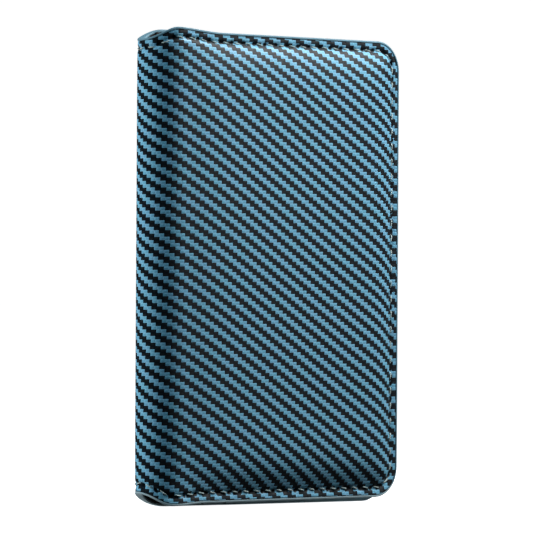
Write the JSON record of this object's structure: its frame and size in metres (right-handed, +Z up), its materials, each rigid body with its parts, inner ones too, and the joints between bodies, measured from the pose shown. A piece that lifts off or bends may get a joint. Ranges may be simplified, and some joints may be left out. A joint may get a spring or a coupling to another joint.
{
  "type": "bifold card wallet",
  "caption": "Slim padded bifold card wallet with a rounded spine, stitched and painted edges and overlapping card slots inside; it opens flat like a book.",
  "frame": {"origin": "on the ground under the middle of the closed wallet, which stands on its lower edges", "axes": "+Z up along the spine, +X from the spine towards the free edges, +Y out of the back cover"},
  "size_m": [0.0796, 0.017, 0.1115],
  "materials": {
    "outer_leather": "satin synthetic leather, blue and black twill print",
    "thread": "pale waxed thread",
    "foam": "soft foam",
    "board": "fibre board",
    "pocket_leather": "matte fine grain",
    "lining": "fine woven lining"
  },
  "bodies": {
    "back_cover": {"back_outer_panel": "outer_leather", "back_foam_pad": "foam", "back_stiffener": "board", "back_pocket_base": "pocket_leather", "back_card_slot_1": "pocket_leather", "back_card_slot_2": "pocket_leather", "back_card_slot_3": "pocket_leather", "back_stitch": "thread"},
    "spine": {"spine_strip": "outer_leather", "spine_lining": "lining", "spine_stitch_top": "thread", "spine_stitch_bottom": "thread"},
    "front_cover": {"front_outer_panel": "outer_leather", "front_foam_pad": "foam", "front_stiffener": "board", "front_pocket_base": "pocket_leather", "front_card_slot_1": "pocket_leather", "front_card_slot_2": "pocket_leather", "front_card_slot_3": "pocket_leather", "front_stitch": "thread"}
  },
  "joints": [
    {"name": "back_fold", "type": "hinge", "parent": "back_cover", "child": "spine", "pos_m": [-0.03703, 0.00357, 0.05575], "axis": [0, 0, -1], "range_deg": [0, 92.55]},
    {"name": "front_fold", "type": "hinge", "parent": "spine", "child": "front_cover", "pos_m": [-0.03662, -0.0056, 0.05575], "axis": [0, 0, -1], "range_deg": [0, 92.55]}
  ],
  "couplings": [
    {"joint": "front_fold", "follows": "back_fold", "ratio": 1}
  ]
}
